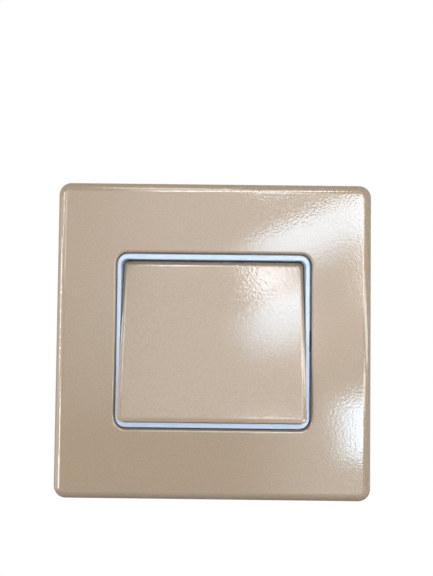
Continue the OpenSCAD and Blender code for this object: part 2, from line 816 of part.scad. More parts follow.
// Brass block with a wire bore along y and a screw hole from behind.
module clamp_block(x) {
    edge = 0.4;
    color(brass) on_wall() {
        translate([x, 0, 0]) {
            difference() {
                translate([0, block_top, 0])
                    rotate([90, 0, 0])
                        linear_extrude(block_l)
                            translate([0, (block_front_z + block_back_z) / 2])
                                round_rect(block_w, block_d, edge);
                translate([0, block_top + cut, wire_z])
                    rotate([90, 0, 0]) cylinder(r = wire_r, h = block_l + 2 * cut);
                post([0, block_mid_y], terminal_screw_r + run_gap, block_back_z - cut, wire_z);
            }
        }
    }
}

module left_clamp_block() {
    clamp_block(terminal_x[0]);
}

module middle_clamp_block() {
    clamp_block(terminal_x[1]);
}

module right_clamp_block() {
    clamp_block(terminal_x[2]);
}

// Leg of a brass strip: from the chamber floor back along the top of its clamp block.
module strip_leg(x) {
    box(
        [x - strip_w / 2, leg_y - strip_t, block_front_z - block_d / 2],
        [x + strip_w / 2, leg_y, strip_top_z]
    );
}

// Flat run of brass strip on the chamber floor.
module strip_run(low, high) {
    box([low[0], low[1], floor_z], [high[0], high[1], strip_top_z]);
}

// Common strip: knife edge in the middle, run to the left, leg into the left block.
module common_terminal() {
    blade_w = arm_w - 4 * fit_gap;
    x = terminal_x[0];
    color(brass) on_wall() {
        strip_run([x - strip_w / 2, -strip_w / 2], [strip_w / 2, strip_w / 2]);
        strip_run([x - strip_w / 2, leg_y - strip_t], [x + strip_w / 2, strip_w / 2]);
        strip_leg(x);
        translate([-blade_w / 2, 0, 0])
            rotate([90, 0, 90])
                linear_extrude(blade_w)
                    polygon([
                        [-blade_t / 2, strip_top_z - eps],
                        [blade_t / 2, strip_top_z - eps],
                        [blade_t / 2, arm_pivot_z - blade_t / 2],
                        [0, arm_pivot_z - eps],
                        [-blade_t / 2, arm_pivot_z - blade_t / 2]
                    ]);
    }
}

// Hole in a strip for a fixed contact's rivet shank.
module rivet_hole(y) {
    post([0, y], rivet_r, floor_z - cut, strip_top_z + cut);
}

// Upper strip: contact pad at the top, run down the right side, leg into the right block.
module upper_terminal() {
    x = terminal_x[2];
    pad_top = crown_y + strip_pad;
    color(brass) on_wall() {
        difference() {
            union() {
                strip_run([-strip_w / 2, pad_top - strip_w], [x + strip_w / 2, pad_top]);
                strip_run([x - strip_w / 2, leg_y - strip_t], [x + strip_w / 2, pad_top]);
                strip_leg(x);
            }
            rivet_hole(crown_y);
        }
    }
}

// Lower strip: contact pad at the bottom with its leg straight back into the middle block.
module lower_terminal() {
    color(brass) on_wall() {
        difference() {
            union() {
                strip_run([-strip_w / 2, leg_y - strip_t], [strip_w / 2, leg_y + strip_w]);
                strip_leg(0);
            }
            rivet_hole(-crown_y);
        }
    }
}

// Riveted silver contact with a crowned face, standing on a strip.
module fixed_contact(y) {
    color(silver) on_wall() {
        translate([0, y, 0]) {
            intersection() {
                translate([0, 0, crown_z]) sphere(crown_r, $fn = 96);
                translate([0, 0, strip_top_z]) cylinder(r = contact_r, h = crown_r);
            }
            translate([0, 0, floor_z]) cylinder(r = rivet_r, h = strip_t + eps);
        }
    }
}

module upper_fixed_contact() {
    fixed_contact(crown_y);
}

module lower_fixed_contact() {
    fixed_contact(-crown_y);
}

// Finger guard behind the terminals, with a screwdriver hole over each screw.
module terminal_shield() {
    color(grey_plastic) on_wall() {
        difference() {
            round_box(
                [-housing_half_w, block_bottom, bay_back_z - shield_t],
                [housing_half_w, bay_top + housing_wall, bay_back_z], housing_corner_r
            );
            for (x = terminal_x)
                post([x, block_mid_y], guard_r, bay_back_z - shield_t - cut, bay_back_z + cut);
        }
    }
}

// ---------------------------------------------------------------- rocker

// Painted rocker: a hollow cap with a hinge pin on each side and rails for the lever.
module rocker_cap() {
    inner_w = rocker_w - 2 * rocker_skirt_t;
    inner_h = rocker_h - 2 * rocker_skirt_t;
    skirt_end = pivot_back - rocker_skirt_h;
    rail_x = lever_plate_w / 2 + fit_gap;
    rail_end = cap_under - lever_plate_t - fit_gap - rail_lip;
    color(champagne) on_rocker() {
        difference() {
            edged_block(rocker_w, rocker_h, rocker_corner_r, skirt_end, pivot_back)
                edge_section(rocker_corner_r, rocker_skirt_h, rocker_edge_r);
            translate([-inner_w / 2, -inner_h / 2, skirt_end - cut])
                cube([inner_w, inner_h, cap_under - skirt_end + cut]);
        }
        for (sx = [-1, 1]) {
            translate([sx * (rocker_w / 2 - rocker_skirt_t / 2), 0, 0])
                rotate([0, sx * 90, 0])
                    cylinder(r = hinge_pin_r, h = hinge_pin_end - rocker_w / 2 + rocker_skirt_t / 2);
            // rails with lips that the lever's plate slides into
            mirror([sx < 0 ? 1 : 0, 0, 0]) {
                box(
                    [rail_x, -lever_plate_h / 2, rail_end],
                    [rail_x + rail_t, lever_plate_h / 2, cap_under + eps]
                );
                box(
                    [rail_x - rail_lip, -lever_plate_h / 2, rail_end],
                    [rail_x + eps, lever_plate_h / 2, rail_end + rail_lip]
                );
            }
        }
        // stiffening ribs above and below the lever
        for (sy = [-1, 1]) {
            y = sy * (lever_plate_h / 2 + fit_gap + cap_rib_t / 2);
            box(
                [-inner_w / 2 - eps, y - cap_rib_t / 2, cap_under - cap_rib_h],
                [inner_w / 2 + eps, y + cap_rib_t / 2, cap_under + eps]
            );
        }
    }
}

// Lever that carries the sprung plunger behind the rocker.
module rocker_lever() {
    plate_top = cap_under - eps;
    plate_low = cap_under - lever_plate_t;
    color(white_plastic) on_rocker() {
        difference() {
            union() {
                box(
                    [-lever_plate_w / 2, -lever_plate_h / 2, plate_low],
                    [lever_plate_w / 2, lever_plate_h / 2, plate_top]
                );
                translate([0, 0, -tube_end]) cylinder(r = tube_r, h = tube_end + plate_low + eps);
                // webs that stiffen the tube's root
                for (sx = [-1, 1])
                    mirror([sx < 0 ? 1 : 0, 0, 0])
                        translate([0, lever_web_t / 2, 0])
                            rotate([90, 0, 0])
                                linear_extrude(lever_web_t)
                                    polygon([
                                        [0, plate_low + eps],
                                        [tube_r + lever_web_reach, plate_low + eps],
                                        [tube_r - eps, plate_low - pivot_z + 1.5],
                                        [0, plate_low - pivot_z + 1.5]
                                    ]);
            }
            translate([0, 0, -tube_end - cut])
                cylinder(r = bore_r, h = tube_end - spring_seat + cut);
        }
    }
}

// Plunger with a round nose, at the outer end of its stroke.
module plunger() {
    color(silver) on_rocker() {
        translate([0, 0, -nose_reach]) {
            cylinder(r = plunger_r, h = plunger_shank);
            sphere(plunger_r);
        }
    }
}

// Points of one square-ish ring of the spring's wire at helix angle a.
function wire_ring(a, rise, sides) = [
    for (k = [0:sides - 1])
        let (
            s = 360 * k / sides,
            r = spring_coil_r + spring_wire_r * cos(s)
        )
        [r * cos(a), r * sin(a), rise + spring_wire_r * sin(s)]
];

// Coil spring between the bore's end and the plunger.
module plunger_spring() {
    sides = 6;
    steps = 14 * spring_turns;
    run = spring_l - 2 * spring_wire_r - 2 * eps;
    rings = [
        for (i = [0:steps])
            wire_ring(
                360 * spring_turns * i / steps, spring_wire_r + eps + run * i / steps, sides
            )
    ];
    points = [for (ring = rings) for (p = ring) p];
    walls = [
        for (i = [0:steps - 1], k = [0:sides - 1])
            let (a = i * sides + k, b = i * sides + (k + 1) % sides)
            each [[a, b, b + sides], [a, b + sides, a + sides]]
    ];
    first = [for (k = [0:sides - 1]) sides - 1 - k];
    last = [for (k = [0:sides - 1]) steps * sides + k];
    color(steel) on_rocker() {
        translate([0, 0, -plunger_back]) polyhedron(points, concat(walls, [first, last]));
    }
}

// ---------------------------------------------------------------- contact arm

// Rocking arm with ears that keep it on the knife edge.
module contact_arm() {
    color(brass) on_arm() {
        difference() {
            union() {
                box([-arm_w / 2, -arm_half_l, 0], [arm_w / 2, arm_half_l, arm_t]);
                for (sx = [-1, 1])
                    mirror([sx < 0 ? 1 : 0, 0, 0])
                        box(
                            [arm_w / 2 - eps, -strip_w / 4, -ear_drop],
                            [arm_w / 2 + ear_t, strip_w / 4, arm_t]
                        );
            }
            for (sy = [-1, 1]) post([0, sy * contact_reach], rivet_r, -cut, arm_t + cut);
        }
    }
}

// Riveted silver contact through one end of the arm.
module moving_contact(y) {
    tail_r = 1.3;
    tail_h = 0.3;
    color(silver) on_arm() {
        post([0, y], contact_r, -moving_head_h, 0);
        post([0, y], rivet_r, -eps, arm_t + eps);
        post([0, y], tail_r, arm_t, arm_t + tail_h);
    }
}

module upper_moving_contact() {
    moving_contact(contact_reach);
}

module lower_moving_contact() {
    moving_contact(-contact_reach);
}

front_frame();
trim_ring();
mounting_plate();
mechanism_plate();
switch_housing();
module_screws();
common_terminal();
upper_terminal();
lower_terminal();
upper_fixed_contact();
lower_fixed_contact();
left_clamp_block();
middle_clamp_block();
right_clamp_block();
terminal_screws();
terminal_shield();
rocker_cap();
rocker_lever();
plunger_spring();
plunger();
contact_arm();
upper_moving_contact();
lower_moving_contact();
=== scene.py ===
import json
import math

import bmesh
import bpy
from mathutils import Matrix, Vector


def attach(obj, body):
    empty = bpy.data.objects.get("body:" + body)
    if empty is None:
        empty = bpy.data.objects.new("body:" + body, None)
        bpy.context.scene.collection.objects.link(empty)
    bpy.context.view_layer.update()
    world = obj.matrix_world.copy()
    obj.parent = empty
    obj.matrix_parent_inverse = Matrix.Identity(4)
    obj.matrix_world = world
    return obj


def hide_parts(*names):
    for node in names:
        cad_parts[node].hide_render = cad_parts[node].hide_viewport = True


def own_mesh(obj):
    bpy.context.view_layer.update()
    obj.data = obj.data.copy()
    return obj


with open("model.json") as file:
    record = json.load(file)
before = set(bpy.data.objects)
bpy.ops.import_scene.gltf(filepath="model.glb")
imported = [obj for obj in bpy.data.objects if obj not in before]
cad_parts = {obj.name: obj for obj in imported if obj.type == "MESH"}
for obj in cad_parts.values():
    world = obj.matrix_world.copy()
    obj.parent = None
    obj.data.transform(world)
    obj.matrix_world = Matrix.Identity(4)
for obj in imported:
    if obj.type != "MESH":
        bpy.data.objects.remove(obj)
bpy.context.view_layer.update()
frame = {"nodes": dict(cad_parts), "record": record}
NODES = frame["nodes"]
MM = 0.001

# ---------------------------------------------------------------- sizes, in millimetres

# painted frame, heights out of the wall
FRAME_W = FRAME_H = 86.0
FRAME_SEAT = (0.18, 0.05)       # its middle, seen from the middle of the fixing slots
FRAME_CORNER_R = 3.4
FACE_Z, FACE_BACK_Z = 8.0, 5.8
EDGE_REACH, EDGE_DROP, NOSE_R = 2.7, 1.6, 1.0
SKIRT_T, SKIRT_GAP, SKIRT_FOOT_R, SKIRT_FOOT_STEPS = 2.0, 0.2, 0.25, 4
WINDOW_W, WINDOW_H, WINDOW_R, WINDOW_EDGE = 53.24, 47.74, 3.1, 0.7
RIB_T, RIB_H, RIB_AT = 1.2, 0.7, 14.0
RIB_ROOM = 0.4                  # between the ring's flange and the rib round it
RIB_START = 0.2                 # from that rib's inner side to the start of a cross rib
HOOK_X, HOOK_Y, HOOK_W, HOOK_T, HOOK_FOOT = 35.85, 24.0, 7.0, 1.5, 0.3
BARB_REACH, BARB_H, BARB_LIFT, BARB_INSET = 0.7, 0.8, 0.02, 0.05

# ring, and the well that the rocker moves in
RING_W, RING_H, RING_R = 52.6, 47.1, 2.8
FLANGE_TOP, FLANGE_REACH = 5.6, 1.6
NOTCH_L = 6.0
WELL_W = 50.5

# rocker, in its own coordinates, with its hinge's axis at 0
TILT = 8.4                      # degrees, top pressed in
PIVOT_Z, PIVOT_BACK = 5.0, 3.0
ROCKER_W, ROCKER_H, ROCKER_R = 50.1, 43.3, 1.3
ROCKER_REACH, ROCKER_EDGE, ROCKER_NOSE = 1.5, 0.45, 0.25
ROCKER_SKIRT_T, ROCKER_FACE_T, ROCKER_FOOT_R, ROCKER_INNER_R = 1.4, 1.8, 0.15, 0.4
TOUCH_GAP = 0.04
PIN_R, PIN_ROOT, PIN_REACH, PIN_CHAMFER = 1.2, 0.7, 1.0, 0.2
LEVER_W, LEVER_H, LEVER_T, LEVER_FIT = 26.0, 14.0, 1.5, 0.1
CAP_RIB_T, CAP_RIB_H, RAIL_T, LIP = 1.0, 1.4, 1.2, 0.8

# plunger spring, in the rocker's coordinates
SPRING_FROM, SPRING_L, SPRING_GAP = -0.9, 3.5, 0.02
SPRING_COIL_R, SPRING_WIRE_R, SPRING_TURNS = 1.22, 0.18, 5
END_CLOSING = 0.35              # share by which the end turns lie closer together

SINK = 0.1                      # how far a rib or rail sinks into what carries it
BOX_EDGE = 0.12
LEAST_R = 0.01

# steps of round shapes
CORNER_STEPS = 20
ARC_STEPS = 12
PIN_STEPS = 32
WIRE_SIDES, TURN_STEPS = 12, 32
SHARP_ANGLE = math.radians(38)


# ---------------------------------------------------------------- camera

PHOTO_W, PHOTO_H = 433, 576
FOCAL_PX = 433.0
SENSOR = 36.0
EYE = Vector((0.00113, -0.12545, 0.01162))
PITCH, YAW, ROLL = (math.radians(a) for a in (1.37, 0.14, -0.66))


def camera_axes():
    """Right, forward and up of the camera, from its three small turns."""
    turn = (
        Matrix.Rotation(YAW, 3, "Z") @ Matrix.Rotation(PITCH, 3, "X") @ Matrix.Rotation(ROLL, 3, "Y")
    )
    return turn.col[0].copy(), turn.col[1].copy(), turn.col[2].copy()


def placed(x, y, z, at):
    """Matrix of an object with these three axes at that point."""
    return Matrix((
        (x.x, y.x, z.x, at.x), (x.y, y.y, z.y, at.y), (x.z, y.z, z.z, at.z), (0, 0, 0, 1)
    ))


RIGHT, FORWARD, UP = camera_axes()

cam_data = bpy.data.cameras.new("camera")
cam_data.lens = SENSOR * FOCAL_PX / PHOTO_H
cam_data.sensor_width = SENSOR
cam_data.sensor_fit = "AUTO"
cam_data.clip_start = 0.005
cam_data.clip_end = 50.0
camera = bpy.data.objects.new("camera", cam_data)
camera.matrix_world = placed(RIGHT, UP, -FORWARD, EYE)
bpy.context.scene.collection.objects.link(camera)
bpy.context.scene.camera = camera
bpy.context.scene.view_settings.view_transform = "Standard"


# ---------------------------------------------------------------- node helpers

NOISE_LOW, NOISE_HIGH = 0.3, 0.7    # nearly all of a noise's values lie between these


class Nodes:
    """A short way to write a node tree."""

    def __init__(self, tree):
        self.tree = tree
        tree.nodes.clear()

    def add(self, kind, sockets=None, **settings):
        node = self.tree.nodes.new(kind)
        for key, value in settings.items():
            setattr(node, key, value)
        for key, value in (sockets or {}).items():
            self.feed(node.inputs[key], value)
        return node

    def feed(self, socket, value):
        if isinstance(value, bpy.types.NodeSocket):
            self.tree.links.new(value, socket)
        else:
            socket.default_value = value

    def surface(self, socket, output="ShaderNodeOutputMaterial"):
        """Ends the tree with this shader."""
        self.tree.links.new(socket, self.add(output).inputs["Surface"])

    def math(self, operation, a, b=0.0):
        node = self.add("ShaderNodeMath", operation=operation)
        self.feed(node.inputs[0], a)
        self.feed(node.inputs[1], b)
        return node.outputs[0]

    def mapped(self, value, from_low, from_high, low, high, kind="LINEAR"):
        node = self.add("ShaderNodeMapRange", {
            "Value": value, "From Min": from_low, "From Max": from_high, "To Min": low, "To Max": high,
        }, interpolation_type=kind)
        return node.outputs["Result"]

    def spread(self, noise, low=0.0, high=1.0):
        """The usual range of a noise, as a range between low and high."""
        return self.mapped(noise, NOISE_LOW, NOISE_HIGH, low, high)

    def mix(self, factor, a, b):
        node = self.add("ShaderNodeMix", data_type="RGBA")
        self.feed(node.inputs["Factor"], factor)
        self.feed(node.inputs["A"], a)
        self.feed(node.inputs["B"], b)
        return node.outputs["Result"]

    def mix_shaders(self, factor, a, b):
        node = self.add("ShaderNodeMixShader", {0: factor})
        self.tree.links.new(a.outputs[0], node.inputs[1])
        self.tree.links.new(b.outputs[0], node.inputs[2])
        return node.outputs[0]

    def noise(self, where, scale, detail=2.0, roughness=0.5):
        node = self.add("ShaderNodeTexNoise", {
            "Vector": where, "Scale": scale, "Detail": detail, "Roughness": roughness,
        })
        return node.outputs["Fac"]

    def place(self, stretch=(1, 1, 1)):
        coords = self.add("ShaderNodeTexCoord")
        mapping = self.add("ShaderNodeMapping", {"Vector": coords.outputs["Object"], "Scale": stretch})
        return mapping.outputs["Vector"]

    def split(self, vector):
        """X, Y and Z of a vector."""
        return self.add("ShaderNodeSeparateXYZ", {"Vector": vector}).outputs

    def bump(self, height, distance, strength=1.0, normal=None):
        node = self.add("ShaderNodeBump", {"Height": height, "Distance": distance, "Strength": strength})
        if normal is not None:
            self.feed(node.inputs["Normal"], normal)
        return node.outputs["Normal"]


def linear(r, g, b):
    """sRGB 0 to 255 as linear RGBA."""
    def one(v):
        v /= 255.0
        return v / 12.92 if v <= 0.04045 else ((v + 0.055) / 1.055) ** 2.4
    return (one(r), one(g), one(b), 1.0)


def new_material(name):
    material = bpy.data.materials.new(name)
    material.use_nodes = True
    return material, Nodes(material.node_tree)


def shader(nodes, **sockets):
    """A Principled shader on the surface output. Underscores in the names stand for spaces."""
    node = nodes.add("ShaderNodeBsdfPrincipled")
    for key, value in sockets.items():
        nodes.feed(node.inputs[key.replace("_", " ")], value)
    nodes.surface(node.outputs[0])


# ---------------------------------------------------------------- materials
# Noise scales are in grains to the metre, bump heights in metres.

PAINT_DARK, PAINT_LIGHT = linear(122, 105, 85), linear(129, 112, 91)
# The third of these is painted shade for the frame's outer edge.
PAINT_FLAKE, PAINT_WARM, EDGE_SHADE_COLOR = linear(165, 148, 125), linear(133, 110, 86), linear(80, 70, 66)
FLAKE_SCALE, GRAIN_SCALE, SPECK_SCALE, TINT_SCALE = 9000.0, 3200.0, 2000.0, 45.0
PEEL_SCALE, PEEL_HEIGHT = 1500.0, 0.000026
WAVE_SCALE, WAVE_HEIGHT = 700.0, 0.000008
GRAIN_HEIGHT = 0.00002
EDGE_SHADE_SHARE = 0.65                   # share of the painted shade colour on the frame's outer edge

# The third of these is near black painted shade for the ring's prising notch.
RING_DARK, RING_LIGHT, NOTCH_SHADE = linear(158, 171, 190), linear(164, 177, 195), linear(20, 24, 26)
RING_SUBSURFACE = 0.6

# where the painted shade on the outer edge starts and is full, in mm: from the middle, and out of the
# wall
EDGE_FROM, EDGE_FULL = 36.0, 38.0
EDGE_LOW_Z, EDGE_HIGH_Z = 4.5, 6.6


def shaded_outer_edge(n):
    """1 on the front part of the frame's outer edge where it turns sideways or down.

    There its colour is darkened as painted shade, and its lacquer's reflection is cut.
    """
    coords = n.add("ShaderNodeTexCoord")
    turned, where = n.split(coords.outputs["Normal"]), n.split(coords.outputs["Object"])
    side = n.mapped(turned["Y"], -0.6, -0.1, 0, 1)
    under = n.mapped(turned["Z"], -0.1, -0.6, 0, 1)
    far = n.math("MAXIMUM", n.math("ABSOLUTE", where["X"]), n.math("ABSOLUTE", where["Z"]))
    near = n.mapped(where["Y"], -EDGE_LOW_Z * MM, -EDGE_HIGH_Z * MM, 0, 1)
    edge = n.math("MULTIPLY", n.mapped(far, EDGE_FROM * MM, EDGE_FULL * MM, 0, 1), near)
    return n.math("MULTIPLY", n.math("MAXIMUM", side, under), edge)


def notch_shade_mask(n):
    """1 inside the ring's prising notch, which is painted near black as painted shade."""
    where = n.split(n.add("ShaderNodeTexCoord").outputs["Object"])
    out = n.math("GREATER_THAN", where["X"], (RING_W / 2 + 0.1) * MM)
    deep = n.math("GREATER_THAN", where["Y"], -(FLANGE_TOP - 0.1) * MM)
    within = n.math("LESS_THAN", n.math("ABSOLUTE", where["Z"]), (NOTCH_L / 2 + 0.15) * MM)
    return n.math("MULTIPLY", n.math("MULTIPLY", out, deep), within)


def champagne_paint():
    """Pearl champagne paint: fine flakes under a lacquer with a faint orange peel."""
    material, n = new_material("champagne_paint")
    at = n.place()
    flakes = n.noise(at, FLAKE_SCALE, 1.0)
    grain = n.noise(at, GRAIN_SCALE, 2.0, 0.6)
    specks = n.noise(at, SPECK_SCALE, 1.0)
    tint = n.noise(at, TINT_SCALE, 2.0)
    # Painted shade: where the frame's outer edge turns sideways or down, the colour goes darker and the
    # lacquer mirrors less.
    edge_shade = shaded_outer_edge(n)
    tone = n.mix(n.mapped(specks, 0.35, 0.65, 0, 1), PAINT_DARK, PAINT_LIGHT)
    tone = n.mix(n.mapped(flakes, 0.62, 0.78, 0, 0.5), tone, PAINT_FLAKE)
    tone = n.mix(n.spread(tint, 0, 0.25), tone, PAINT_WARM)
    tone = n.mix(n.math("MULTIPLY", edge_shade, EDGE_SHADE_SHARE), tone, EDGE_SHADE_COLOR)
    peel_normal = n.bump(n.noise(at, PEEL_SCALE, 1.0), PEEL_HEIGHT)
    shader(
        n, Base_Color=tone, Metallic=0.12, Roughness=n.spread(grain, 0.42, 0.52),
        Specular_IOR_Level=0.05, Normal=n.bump(grain, GRAIN_HEIGHT, 0.5),
        Coat_Weight=n.mapped(edge_shade, 0, 1, 1, 0.25), Coat_Roughness=0.08, Coat_IOR=1.65,
        Coat_Normal=n.bump(n.noise(at, WAVE_SCALE, 1.0), WAVE_HEIGHT, 1.0, peel_normal),
    )
    return material


def ring_plastic():
    """Pale blue plastic that lets a little light through, so its walls stay bright."""
    material, n = new_material("ring_plastic")
    at = n.place()
    fine = n.noise(at, 5000.0)
    # Painted shade: the prising notch is painted near black and lets no light through.
    notch = notch_shade_mask(n)
    tone = n.mix(n.spread(n.noise(at, 120.0)), RING_DARK, RING_LIGHT)
    tone = n.mix(notch, tone, NOTCH_SHADE)
    shader(
        n, Base_Color=tone, Roughness=n.spread(fine, 0.34, 0.44),
        Subsurface_Weight=n.mapped(notch, 0, 1, RING_SUBSURFACE, 0),
        Subsurface_Radius=(1.0, 1.0, 1.0), Subsurface_Scale=0.003,
        Normal=n.bump(fine, 0.00001, 0.3),
    )
    return material


def moulded_plastic(name, low, high, roughness):
    """Matt moulded plastic: an eroded texture and faint flow marks."""
    material, n = new_material(name)
    flow = n.noise(n.place((1, 1, 3)), 60.0, 3.0)
    eroded = n.noise(n.place(), 2600.0, 3.0, 0.65)
    shader(
        n, Base_Color=n.mix(n.spread(flow), low, high),
        Roughness=n.spread(eroded, roughness - 0.06, roughness + 0.06),
        Normal=n.bump(eroded, 0.00003, 0.4),
    )
    return material


def worked_metal(name, low, high, roughness, stretch, scale):
    """Bare metal with the fine lines that rolling or turning leaves."""
    material, n = new_material(name)
    lines = n.noise(n.place(stretch), scale, 3.0, 0.6)
    cloud = n.noise(n.place(), 150.0, 3.0)
    shader(
        n, Base_Color=n.mix(n.spread(cloud), low, high), Metallic=1.0,
        Roughness=n.spread(lines, roughness - 0.07, roughness + 0.07),
        Normal=n.bump(lines, 0.00001, 0.35),
    )
    return material


MATERIALS = {
    "champagne_paint": champagne_paint(),
    "ring_plastic": ring_plastic(),
    "white_plastic": moulded_plastic("white_plastic", linear(232, 232, 226), linear(240, 240, 235), 0.5),
    "grey_plastic": moulded_plastic("grey_plastic", linear(186, 189, 188), linear(196, 199, 197), 0.52),
    "steel": worked_metal("steel", linear(205, 207, 210), linear(222, 223, 224), 0.30, (1, 1, 1), 900.0),
    "brass": worked_metal("brass", linear(216, 176, 98), linear(230, 194, 118), 0.28, (1, 1, 8), 700.0),
    "contact_silver": worked_metal(
        "contact_silver", linear(222, 222, 222), linear(232, 232, 230), 0.22, (1, 1, 1), 1500.0
    ),
}

for part in frame["record"]["subparts"]:
    node = NODES[part["node"]]
    node.data.materials.clear()
    node.data.materials.append(MATERIALS[part["material_slot"]])


# ---------------------------------------------------------------- mesh helpers

def outline(w, h, r, centre=(0.0, 0.0)):
    """Points of a rectangle with round corners, counter-clockwise from the right side."""
    r = max(r, LEAST_R)
    points = []
    for corner, (sx, sy) in enumerate(((1, 1), (-1, 1), (-1, -1), (1, -1))):
        cx, cy = centre[0] + sx * (w / 2 - r), centre[1] + sy * (h / 2 - r)
        for step in range(CORNER_STEPS + 1):
            a = math.radians(90 * corner + 90 * step / CORNER_STEPS)
            points.append((cx + r * math.cos(a), cy + r * math.sin(a)))
    return points


def on_wall(x, y, z):
    """Plate coordinates, in mm, to the part's frame, in metres."""
    return Vector((x * MM, -z * MM, y * MM))


def on_rocker(x, y, z):
    """The rocker's coordinates, in mm, to the part's frame, in metres."""
    c, s = math.cos(math.radians(TILT)), math.sin(math.radians(TILT))
    return on_wall(x, y * c + z * s, PIVOT_Z - y * s + z * c)


def on_side(side, near, far):
    """Low and high end of a stretch to the right (1) or the left (-1) of the middle."""
    return sorted((side * near, side * far))


class Piece:
    """One mesh piece, put together from lofts, boxes and pins."""

    def __init__(self, to_part):
        self.bm = bmesh.new()
        self.to_part = to_part

    def ring(self, points):
        return [self.bm.verts.new(self.to_part(*point)) for point in points]

    def skin(self, a, b):
        for i in range(len(a)):
            j = (i + 1) % len(a)
            self.bm.faces.new((a[i], a[j], b[j], b[i]))

    def sweep(self, rings):
        """Skins rings of points in turn and returns their vertices."""
        rings = [self.ring(points) for points in rings]
        for a, b in zip(rings, rings[1:]):
            self.skin(a, b)
        return rings

    def cap(self, rings):
        self.bm.faces.new(reversed(rings[0]))
        self.bm.faces.new(rings[-1])

    def loft(self, levels):
        """Skins flat outlines in turn. levels is a list of (points, z)."""
        return self.sweep([[(x, y, z) for x, y in points] for points, z in levels])

    def closed_loft(self, levels):
        rings = self.loft(levels)
        self.skin(rings[-1], rings[0])

    def box(self, low, high):
        """Box between two corners with softened edges."""
        made = bmesh.ops.create_cube(self.bm, size=1.0)["verts"]
        for v in made:
            v.co = self.to_part(*(low[i] if v.co[i] < 0 else high[i] for i in range(3)))
        edges = list(dict.fromkeys(e for v in made for e in v.link_edges))
        bmesh.ops.bevel(self.bm, geom=edges, offset=BOX_EDGE * MM, segments=2, affect="EDGES")

    def pin(self, radius, x0, x1):
        """Round pin along the x axis, its far end chamfered."""
        chamfer = math.copysign(PIN_CHAMFER, x1 - x0)
        turns = [2 * math.pi * k / PIN_STEPS for k in range(PIN_STEPS)]
        self.cap(self.sweep([
            [(x, r * math.cos(a), r * math.sin(a)) for a in turns]
            for x, r in ((x0, radius), (x1 - chamfer, radius), (x1, radius - PIN_CHAMFER))
        ]))

    def prism(self, profile, y0, y1):
        """Profile of (x, z) points drawn along y."""
        self.cap(self.sweep([[(x, y, z) for x, z in profile] for y in (y0, y1)]))

    def finish(self, name, body, slot, nodes):
        bmesh.ops.recalc_face_normals(self.bm, faces=self.bm.faces)
        mesh = bpy.data.meshes.new(name)
        self.bm.to_mesh(mesh)
        self.bm.free()
        mesh.materials.append(MATERIALS[slot])
        mesh.polygons.foreach_set("use_smooth", [True] * len(mesh.polygons))
        mesh.set_sharp_from_angle(angle=SHARP_ANGLE)
        piece = bpy.data.objects.new(name, mesh)
        bpy.context.scene.collection.objects.link(piece)
        weighted = piece.modifiers.new("even_normals", "WEIGHTED_NORMAL")
        weighted.keep_sharp = True
        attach(piece, body)
        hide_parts(*nodes)
        return piece


def edge_profile(reach, drop, nose):
    """Insets and drops of a crowned edge: a wide arc off the face, then a small one to the side."""
    run = reach - nose
    crown = (run * run + drop * drop - nose * nose) / (2 * (drop - nose))
    meet = math.atan2(run, crown - drop)
    points = []
    for step in range(2 * ARC_STEPS + 1):
        a = meet * step / (2 * ARC_STEPS)
        points.append((reach - crown * math.sin(a), crown * (1 - math.cos(a))))
    for step in range(1, ARC_STEPS + 1):
        a = meet + (math.pi / 2 - meet) * step / ARC_STEPS
        points.append((nose * (1 - math.sin(a)), drop - nose * math.cos(a)))
    return points


# ---------------------------------------------------------------- frame

def frame_outline(inset):
    return outline(FRAME_W - 2 * inset, FRAME_H - 2 * inset, FRAME_CORNER_R - inset, FRAME_SEAT)


def window_outline(out):
    return outline(WINDOW_W + 2 * out, WINDOW_H + 2 * out, WINDOW_R + out, FRAME_SEAT)


def front_frame():
    piece = Piece(on_wall)
    levels = [(window_outline(0), FACE_BACK_Z)]
    # window edge, rounded over on to the face
    for step in range(ARC_STEPS + 1):
        a = math.radians(90 * step / ARC_STEPS)
        levels.append((
            window_outline(WINDOW_EDGE * (1 - math.cos(a))), FACE_Z - WINDOW_EDGE * (1 - math.sin(a))
        ))
    for inset, drop in edge_profile(EDGE_REACH, EDGE_DROP, NOSE_R):
        levels.append((frame_outline(inset), FACE_Z - drop))
    # skirt, with a small radius at its foot, and back up inside
    foot = SKIRT_FOOT_R
    for step in range(SKIRT_FOOT_STEPS + 1):
        a = math.radians(90 * step / SKIRT_FOOT_STEPS)
        levels.append((frame_outline(foot * (1 - math.cos(a))), SKIRT_GAP + foot * (1 - math.sin(a))))
    levels.append((frame_outline(SKIRT_T - foot), SKIRT_GAP))
    levels.append((frame_outline(SKIRT_T), SKIRT_GAP + foot))
    levels.append((frame_outline(SKIRT_T), FACE_BACK_Z))
    piece.closed_loft(levels)
    frame_ribs(piece)
    frame_hooks(piece)
    piece.finish("front_frame_skin", "root", "champagne_paint", ["front_frame"])


def frame_ribs(piece):
    """Rib round the ring's flange and cross ribs out to the skirt."""
    in_w, in_h = (size + 2 * FLANGE_REACH + 2 * RIB_ROOM for size in (RING_W, RING_H))
    corner = RING_R + FLANGE_REACH
    low, high = FACE_BACK_Z - RIB_H, FACE_BACK_Z + SINK
    inner = outline(in_w, in_h, corner, FRAME_SEAT)
    outer = outline(in_w + 2 * RIB_T, in_h + 2 * RIB_T, corner + RIB_T, FRAME_SEAT)
    piece.closed_loft([(inner, high), (inner, low), (outer, low), (outer, high)])
    sx, sy = FRAME_SEAT
    half = RIB_T / 2
    for side in (-1, 1):
        x0, x1 = on_side(side, in_w / 2 + RIB_START, FRAME_W / 2 - SKIRT_T + SINK)
        y0, y1 = on_side(side, in_h / 2 + RIB_START, FRAME_H / 2 - SKIRT_T + SINK)
        for at in (-RIB_AT, RIB_AT):
            piece.box((sx + x0, sy + at - half, low), (sx + x1, sy + at + half, high))
            piece.box((sx + at - half, sy + y0, low), (sx + at + half, sy + y1, high))


